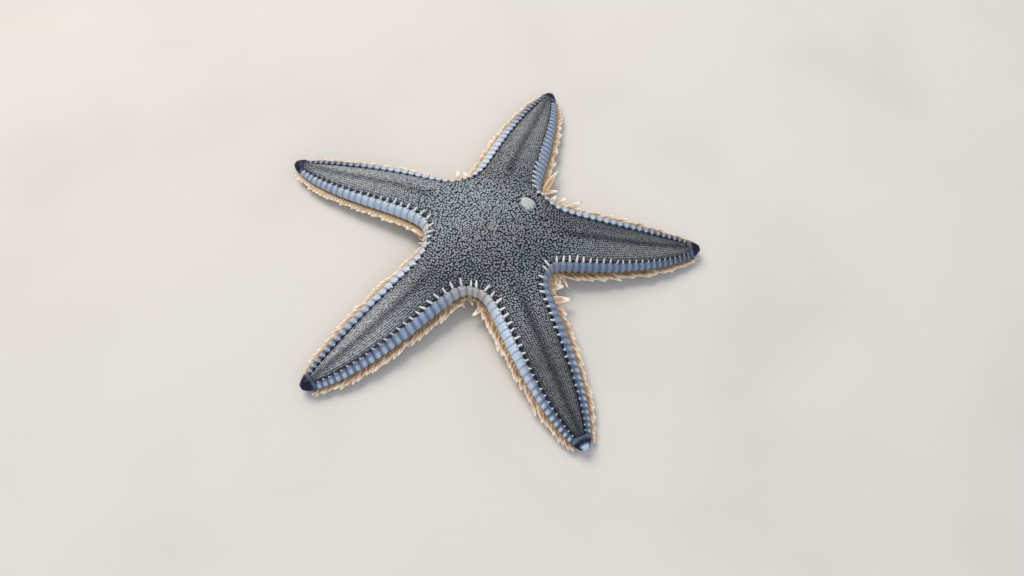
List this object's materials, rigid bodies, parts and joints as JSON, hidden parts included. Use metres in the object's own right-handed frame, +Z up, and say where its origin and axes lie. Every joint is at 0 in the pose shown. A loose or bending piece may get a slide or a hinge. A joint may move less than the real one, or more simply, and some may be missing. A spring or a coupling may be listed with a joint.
{
  "type": "sand starfish",
  "caption": "Life-size still model of a live sand star with slate-blue knobbed upper side, blue border plates and a cream and orange spine fringe.",
  "frame": {"origin": "middle of the box round the whole star, on the level that it lies on; the mouth is within half a millimetre of it", "axes": "+Z up through the disc; arm a points about 12 degrees right of +Y and the rest follow clockwise"},
  "size_m": [0.0668, 0.062, 0.0068],
  "materials": {
    "skin": "slate grey living skin set with pale grey table-topped knobs, damp, soft sheen",
    "upper_plates": "steel blue granular lime plates, paler in the arcs between the arms, damp sheen",
    "lower_plates": "orange brown lime plates with flattened spines edged in cream",
    "tip_plates": "dark navy, nearly smooth end plates",
    "cream_spines": "cream white pointed spines and mouth frame, matte",
    "sieve_plate": "pale grey green plate with fine winding grooves"
  },
  "bodies": {
    "root": {"disc": "skin", "mouth_frame": "cream_spines", "sieve_plate": "sieve_plate", "arm_a": "skin", "tip_plate_a": "tip_plates", "upper_plates_a_left": "upper_plates", "lower_plates_a_left": "lower_plates", "upper_plates_a_right": "upper_plates", "lower_plates_a_right": "lower_plates", "arm_b": "skin", "tip_plate_b": "tip_plates", "upper_plates_b_left": "upper_plates", "lower_plates_b_left": "lower_plates", "upper_plates_b_right": "upper_plates", "lower_plates_b_right": "lower_plates", "arm_c": "skin", "tip_plate_c": "tip_plates", "upper_plates_c_left": "upper_plates", "lower_plates_c_left": "lower_plates", "upper_plates_c_right": "upper_plates", "lower_plates_c_right": "lower_plates", "arm_d": "skin", "tip_plate_d": "tip_plates", "upper_plates_d_left": "upper_plates", "lower_plates_d_left": "lower_plates", "upper_plates_d_right": "upper_plates", "lower_plates_d_right": "lower_plates", "arm_e": "skin", "tip_plate_e": "tip_plates", "upper_plates_e_left": "upper_plates", "lower_plates_e_left": "lower_plates", "upper_plates_e_right": "upper_plates", "lower_plates_e_right": "lower_plates"}
  },
  "joints": []
}
